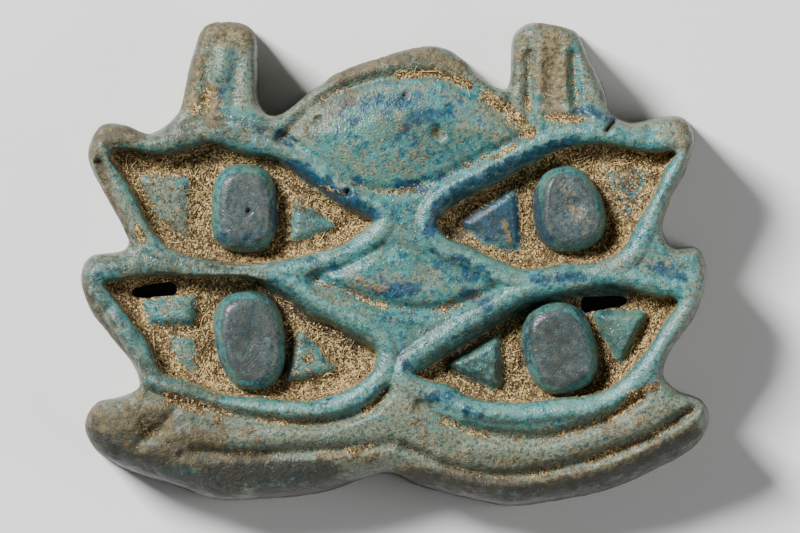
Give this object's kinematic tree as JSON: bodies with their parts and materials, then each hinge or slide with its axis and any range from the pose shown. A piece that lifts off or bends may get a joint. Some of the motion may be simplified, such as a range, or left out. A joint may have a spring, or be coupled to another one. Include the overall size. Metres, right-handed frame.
{
  "type": "eye of horus amulet",
  "caption": "Moulded faience plaque amulet of grouped wedjat eyes with horn-like uprights, a fan between them and crescent lobes below, lying on its flat back.",
  "frame": {"origin": "middle of the flat back, under the middle of the amulet's box", "axes": "+X to the right of the decorated face, +Y towards the horns at its top, +Z out of the decorated face"},
  "size_m": [0.042, 0.0324, 0.0083],
  "materials": {
    "faience": "gloss"
  },
  "bodies": {
    "root": {"quadruple_eye_amulet": "faience"}
  },
  "joints": []
}
